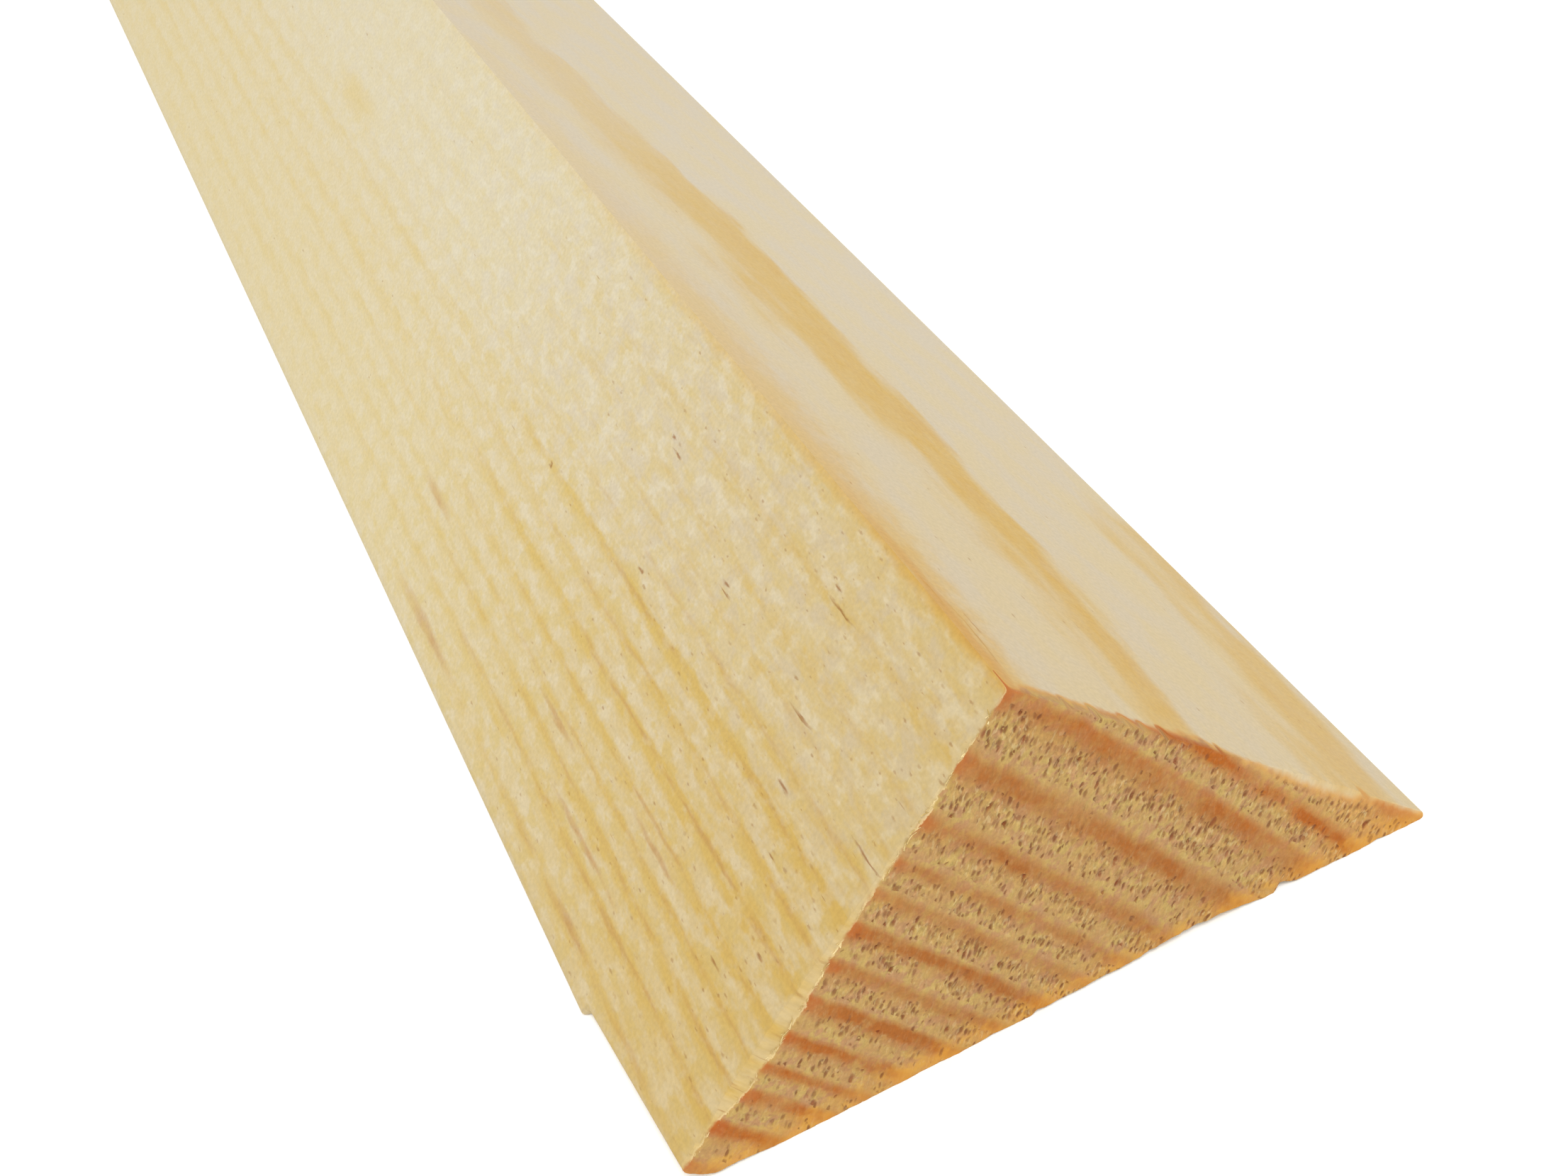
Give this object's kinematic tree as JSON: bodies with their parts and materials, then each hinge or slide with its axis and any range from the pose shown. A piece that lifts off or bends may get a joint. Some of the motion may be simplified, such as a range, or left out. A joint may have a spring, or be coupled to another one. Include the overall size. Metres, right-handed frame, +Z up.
{
  "type": "triangular wood moulding",
  "caption": "Solid softwood moulding of right-angled triangular section, planed on its long faces and sawn square at the ends.",
  "frame": {"origin": "middle of the wide base face, halfway along the stock and straight under the ridge", "axes": "+X along the grain to the end with the broken arris, +Y across the base to the sharp arris, +Z up from the base to the ridge"},
  "size_m": [1, 0.0276, 0.0141],
  "materials": {
    "pine": "bare planed pine, with bare saw-cut end grain"
  },
  "bodies": {
    "root": {"triangular_moulding": "pine"}
  },
  "joints": []
}
